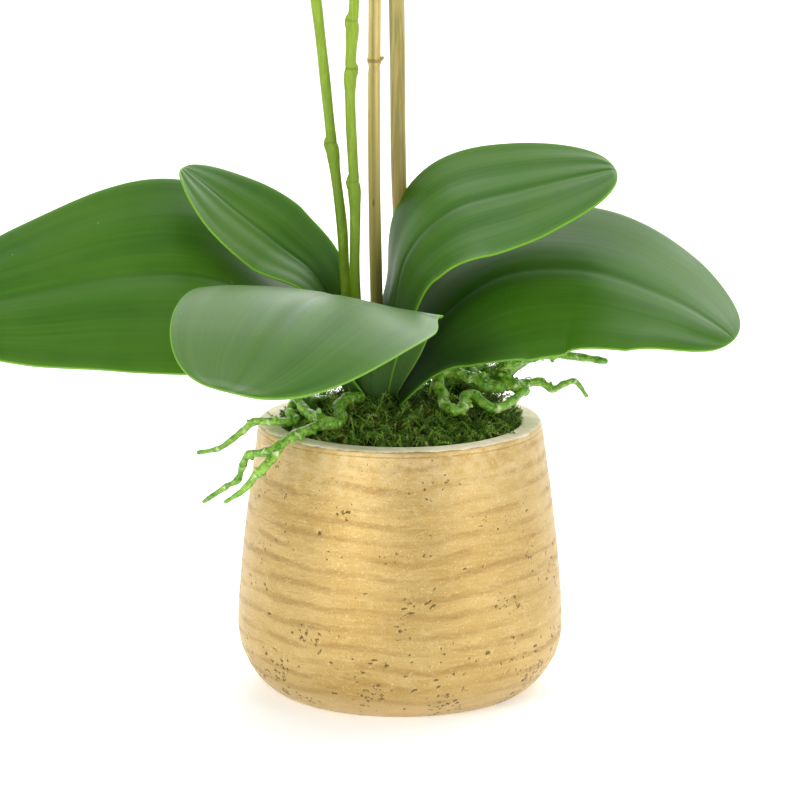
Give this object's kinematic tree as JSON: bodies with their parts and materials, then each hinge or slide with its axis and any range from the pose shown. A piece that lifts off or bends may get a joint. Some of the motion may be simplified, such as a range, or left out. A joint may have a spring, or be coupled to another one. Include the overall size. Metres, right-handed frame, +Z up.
{
  "type": "potted orchid",
  "caption": "Moth orchid standing in a round thick-walled gold pot, with broad arching leaves, aerial roots, moss, tall flower spikes and bamboo stakes.",
  "frame": {"origin": "centre of the pot's foot, on the pot's axis and on the surface it stands on", "axes": "+Z up along the pot's axis; -Y towards the front, where the large front leaf points; +X to the right as seen from the front"},
  "size_m": [0.3753, 0.1976, 0.5995],
  "materials": {
    "pot_shell": "cast, gold painted, cream rim",
    "potting_fill": "rough foam and bark",
    "moss": "fibrous",
    "crown": "satin",
    "leaf": "satin, veined",
    "spike": "satin",
    "bamboo": "dry bamboo",
    "clip": "moulded",
    "root": "moulded, translucent",
    "petal": "soft, matt",
    "lip": "soft, matt",
    "bud": "soft, matt"
  },
  "bodies": {
    "root": {"pot": "pot_shell", "potting_fill": "potting_fill", "moss": "moss", "crown": "crown", "leaf_left_lower": "leaf", "leaf_left_upper": "leaf", "leaf_front": "leaf", "leaf_right_upper": "leaf", "leaf_right_lower": "leaf", "flower_spike_left": "spike", "flower_spike_right": "spike", "bamboo_stake_front": "bamboo", "bamboo_stake_back": "bamboo", "stem_clip": "clip", "aerial_roots_left_rear": "root", "aerial_roots_left_front": "root", "aerial_roots_right_front": "root", "aerial_root_right_top": "root", "bloom_left_1_sepals": "petal", "bloom_left_1_petals": "petal", "bloom_left_1_lip": "lip", "bloom_left_2_sepals": "petal", "bloom_left_2_petals": "petal", "bloom_left_2_lip": "lip", "bloom_left_3_sepals": "petal", "bloom_left_3_petals": "petal", "bloom_left_3_lip": "lip", "bloom_left_4_sepals": "petal", "bloom_left_4_petals": "petal", "bloom_left_4_lip": "lip", "bud_left_1": "bud", "bud_left_2": "bud", "bloom_right_1_sepals": "petal", "bloom_right_1_petals": "petal", "bloom_right_1_lip": "lip", "bloom_right_2_sepals": "petal", "bloom_right_2_petals": "petal", "bloom_right_2_lip": "lip", "bloom_right_3_sepals": "petal", "bloom_right_3_petals": "petal", "bloom_right_3_lip": "lip", "bloom_right_4_sepals": "petal", "bloom_right_4_petals": "petal", "bloom_right_4_lip": "lip", "bud_right_1": "bud", "bud_right_2": "bud"}
  },
  "joints": []
}
